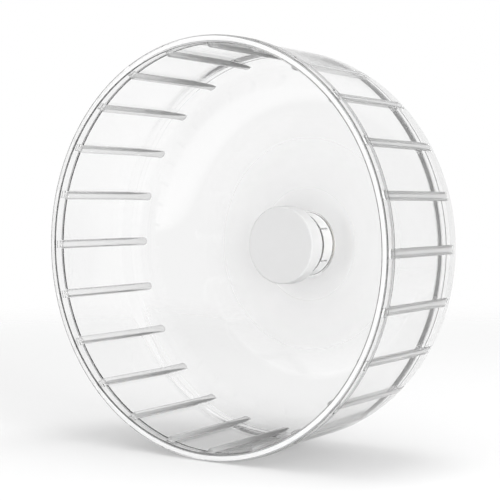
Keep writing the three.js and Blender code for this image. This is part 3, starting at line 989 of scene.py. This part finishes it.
# The walls are thin, so most of the light that falls on them goes on, and the disc stays bright round the cap
ray = add_node(tree, "ShaderNodeLightPath")
passing = add_node(
    tree, "ShaderNodeMath", {0: ray.outputs["Is Shadow Ray"], 1: ray.outputs["Is Diffuse Ray"]},
    operation="MAXIMUM",
)
thin = add_node(tree, "ShaderNodeMapRange", {"Value": passing.outputs[0]}, {"To Max": 0.75})
lets_through = add_node(tree, "ShaderNodeBsdfTransparent", inputs={"Color": linear("#FFFFFF")})
thin_wall = add_node(
    tree, "ShaderNodeMixShader", {"Fac": thin.outputs[0], 1: surface.outputs[0], 2: lets_through.outputs[0]}
)
tree.links.new(thin_wall.outputs[0], tree.nodes["Material Output"].inputs["Surface"])

hub_cap.data.materials.append(white_plastic)
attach(hub_cap, "drum")
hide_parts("hub_cap")


# Mount flange
# A clear round plate behind the disc, with a hexagon pocket for the spindle; its back lies on the cage wall.

flange_radius = 20.0
flange_front = -5.0
stud_hole_radius = 4.3
pocket_corner_radius = 8.55
pocket_length = 6.2
flange = turn_outline("mount_flange_clear", rounded([
    (stud_hole_radius, flange_front, 0),
    (flange_radius, flange_front, 1.0),
    (flange_radius, 0, 0.3),
    (stud_hole_radius, 0, 0.3),
]), steps=128)
pocket = hexagon_bar(pocket_corner_radius, pocket_length, flange_front)
join_solid(flange, pocket, "DIFFERENCE")
flange.data.materials.clear()
flange.data.materials.append(clear_plastic)
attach(flange, "mount")
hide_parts("mount_flange")


# Clamp plate and hand nut
# White mouldings on the stud, behind the cage wall: the plate has two V grooves round its face that grip the
# wires, and the nut has six finger lobes with soft edges.

plate_front = 6.0
plate_back = 9.0
plate_radius = 14.0
groove_radii = (7.4, 10.6)
groove_half_width = 0.4
groove_bottom = plate_front + 0.5
plate_outline = [(stud_hole_radius, plate_back, 0.3), (stud_hole_radius, plate_front, 0.3)]
for radius in groove_radii:
    plate_outline += [
        (radius - groove_half_width, plate_front, 0.2),
        (radius, groove_bottom, 0.1),
        (radius + groove_half_width, plate_front, 0.2),
    ]
plate_outline += [(plate_radius, plate_front, 0.5), (plate_radius, plate_back, 1.0)]
clamp_plate = turn_outline("clamp_plate_white", rounded(plate_outline), steps=128)
clamp_plate.data.materials.append(white_plastic)
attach(clamp_plate, "clamp")
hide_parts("clamp_plate")

nut_front = 9.3
nut_back = 17.3
nut_radius = 9.6
nut_mouth_radius = 5.1
nut_recess_radius = 6.4
lobe_count = 6
lobe_height = 1.2
lobe_steps = 120
nut_outline = []
for step in range(lobe_steps):
    angle = 2 * math.pi * step / lobe_steps
    reach = nut_radius + lobe_height * math.cos(lobe_count * angle)
    nut_outline.append((reach * math.cos(angle), reach * math.sin(angle)))
hand_nut = draw_outline(nut_outline)
hand_nut.name = hand_nut.data.name = "hand_nut_white"
bpy.ops.mesh.edge_face_add()
bpy.ops.mesh.extrude_region_move(TRANSFORM_OT_translate={"value": (0, 0, (nut_back - nut_front) * MM)})
bpy.ops.mesh.select_all(action="SELECT")
bpy.ops.mesh.normals_make_consistent(inside=False)
bpy.ops.object.mode_set(mode="OBJECT")
hand_nut.data.transform(Matrix.Translation((0, nut_back * MM, 0)) @ Matrix.Rotation(math.pi / 2, 4, "X"))
soften = hand_nut.modifiers.new("soften", "BEVEL")
soften.width = 1.0 * MM
soften.segments = 4
soften.limit_method = "ANGLE"
soften.angle_limit = math.radians(60)
bpy.ops.object.modifier_apply(modifier=soften.name)

# The bore widens at both ends, and the tool that cuts it reaches past the nut
nut_bore = turn_outline("nut_bore", [
    (0, 8.0),
    (nut_mouth_radius, 8.0),
    (nut_mouth_radius, nut_front),
    (stud_hole_radius, nut_front + 0.8),
    (stud_hole_radius, nut_back - 1.6),
    (nut_recess_radius, nut_back - 1.0),
    (nut_recess_radius, 18.0),
    (0, 18.0),
], steps=96)
join_solid(hand_nut, nut_bore, "DIFFERENCE")
hand_nut.data.materials.clear()
hand_nut.data.materials.append(white_plastic)
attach(hand_nut, "nut")
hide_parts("hand_nut")


# Floor, light and camera
# White paper under the wheel, which fades into a white surround, two soft lamps and the photograph's view.

floor_level = -105.2 * MM
floor_radius = 1.5
bpy.ops.object.select_all(action="DESELECT")
bpy.ops.mesh.primitive_circle_add(
    vertices=96, radius=floor_radius, fill_type="NGON", location=(0, 0, floor_level)
)
floor = bpy.context.object
floor.name = "floor"

# Plain white paper, matt: it takes the shadow, and is lifted a little where it is seen, also through plastic
paper = bpy.data.materials.new("white paper")
paper.use_nodes = True
tree = paper.node_tree
tree.nodes.clear()
coords = add_node(tree, "ShaderNodeTexCoord")
far = add_node(tree, "ShaderNodeVectorMath", {0: coords.outputs["Object"]}, operation="LENGTH")
fade = add_node(
    tree, "ShaderNodeMapRange", {"Value": far.outputs["Value"]},
    {"From Min": 0.3, "From Max": 1.0}, interpolation_type="SMOOTHSTEP",
)
sheet = add_node(tree, "ShaderNodeBsdfDiffuse", inputs={"Color": linear("#E8E8E8")})
ray = add_node(tree, "ShaderNodeLightPath")
mirrored = add_node(
    tree, "ShaderNodeMath", {0: ray.outputs["Is Camera Ray"], 1: ray.outputs["Is Glossy Ray"]},
    operation="MAXIMUM",
)
seen = add_node(
    tree, "ShaderNodeMath", {0: mirrored.outputs[0], 1: ray.outputs["Is Transmission Ray"]},
    operation="MAXIMUM",
)
lift = add_node(tree, "ShaderNodeMath", {0: seen.outputs[0]}, {1: 0.05}, operation="MULTIPLY")
glow = add_node(tree, "ShaderNodeEmission", {"Strength": lift.outputs[0]}, {"Color": linear("#FFFFFF")})
lifted = add_node(tree, "ShaderNodeAddShader", {0: sheet.outputs[0], 1: glow.outputs[0]})
gone = add_node(tree, "ShaderNodeBsdfTransparent")
faded = add_node(
    tree, "ShaderNodeMixShader", {"Fac": fade.outputs[0], 1: lifted.outputs[0], 2: gone.outputs[0]}
)
add_node(tree, "ShaderNodeOutputMaterial", {"Surface": faded.outputs[0]})
floor.data.materials.append(paper)

# The surround is white behind the wheel and darker in front of it, which is what the clear edges mirror
world = bpy.data.worlds.new("white surround")
bpy.context.scene.world = world
world.use_nodes = True
tree = world.node_tree
tree.nodes.clear()
ray = add_node(tree, "ShaderNodeLightPath")
mirrored = add_node(
    tree, "ShaderNodeMath", {0: ray.outputs["Is Camera Ray"], 1: ray.outputs["Is Glossy Ray"]},
    operation="MAXIMUM",
)
seen = add_node(
    tree, "ShaderNodeMath", {0: mirrored.outputs[0], 1: ray.outputs["Is Transmission Ray"]},
    operation="MAXIMUM",
)
ambient = add_node(tree, "ShaderNodeBackground", inputs={"Color": linear("#FFFFFF"), "Strength": 0.86})
look = add_node(tree, "ShaderNodeTexCoord")
ahead = add_node(
    tree, "ShaderNodeVectorMath", {0: look.outputs["Generated"]}, {1: (0, 1, 0)}, operation="DOT_PRODUCT"
)
sweep = add_node(
    tree, "ShaderNodeMapRange", {"Value": ahead.outputs["Value"]},
    {"From Min": -0.4, "From Max": 0.6, "To Min": 0.35, "To Max": 1.0},
)
backdrop = add_node(
    tree, "ShaderNodeBackground", {"Strength": sweep.outputs[0]}, {"Color": linear("#FFFFFF")}
)
surround = add_node(
    tree, "ShaderNodeMixShader", {"Fac": seen.outputs[0], 1: ambient.outputs[0], 2: backdrop.outputs[0]}
)
add_node(tree, "ShaderNodeOutputWorld", {"Surface": surround.outputs[0]})

# A weak lamp above and a stronger one at the right, turned to the wheel, which show in no reflection
lamp_size = 0.6
for lamp_place, power in (((0.15, 0.05, 1.3), 4.0), ((1.2, -0.45, 0.2), 15.0)):
    bpy.ops.object.light_add(type="AREA", location=lamp_place)
    lamp = bpy.context.object
    lamp.rotation_euler = Vector(lamp_place).to_track_quat("Z", "Y").to_euler()
    lamp.data.shape = "DISK"
    lamp.data.size = lamp_size
    lamp.data.energy = power
    lamp.visible_transmission = False
    lamp.visible_glossy = False

# The camera was fitted to the rim, the foot bars and the rear outline in the photograph
camera_looks_down = 2.33
camera_turn = 36.65
camera = bpy.data.objects.new("camera", bpy.data.cameras.new("camera"))
bpy.context.collection.objects.link(camera)
camera.location = (0.46670, -0.69534, 0.03015)
camera.rotation_euler = (math.radians(90 - camera_looks_down), 0, math.radians(camera_turn))
camera.data.sensor_width = 36
camera.data.lens = 110.2
camera.data.clip_start = 0.01
bpy.context.scene.camera = camera
bpy.context.scene.view_settings.view_transform = "Standard"

# Light crosses many clear walls and runs on inside them, so it may bounce often before it is lost
bpy.context.scene.cycles.max_bounces = 256
bpy.context.scene.cycles.glossy_bounces = 256
bpy.context.scene.cycles.transmission_bounces = 256
bpy.context.scene.cycles.transparent_max_bounces = 512
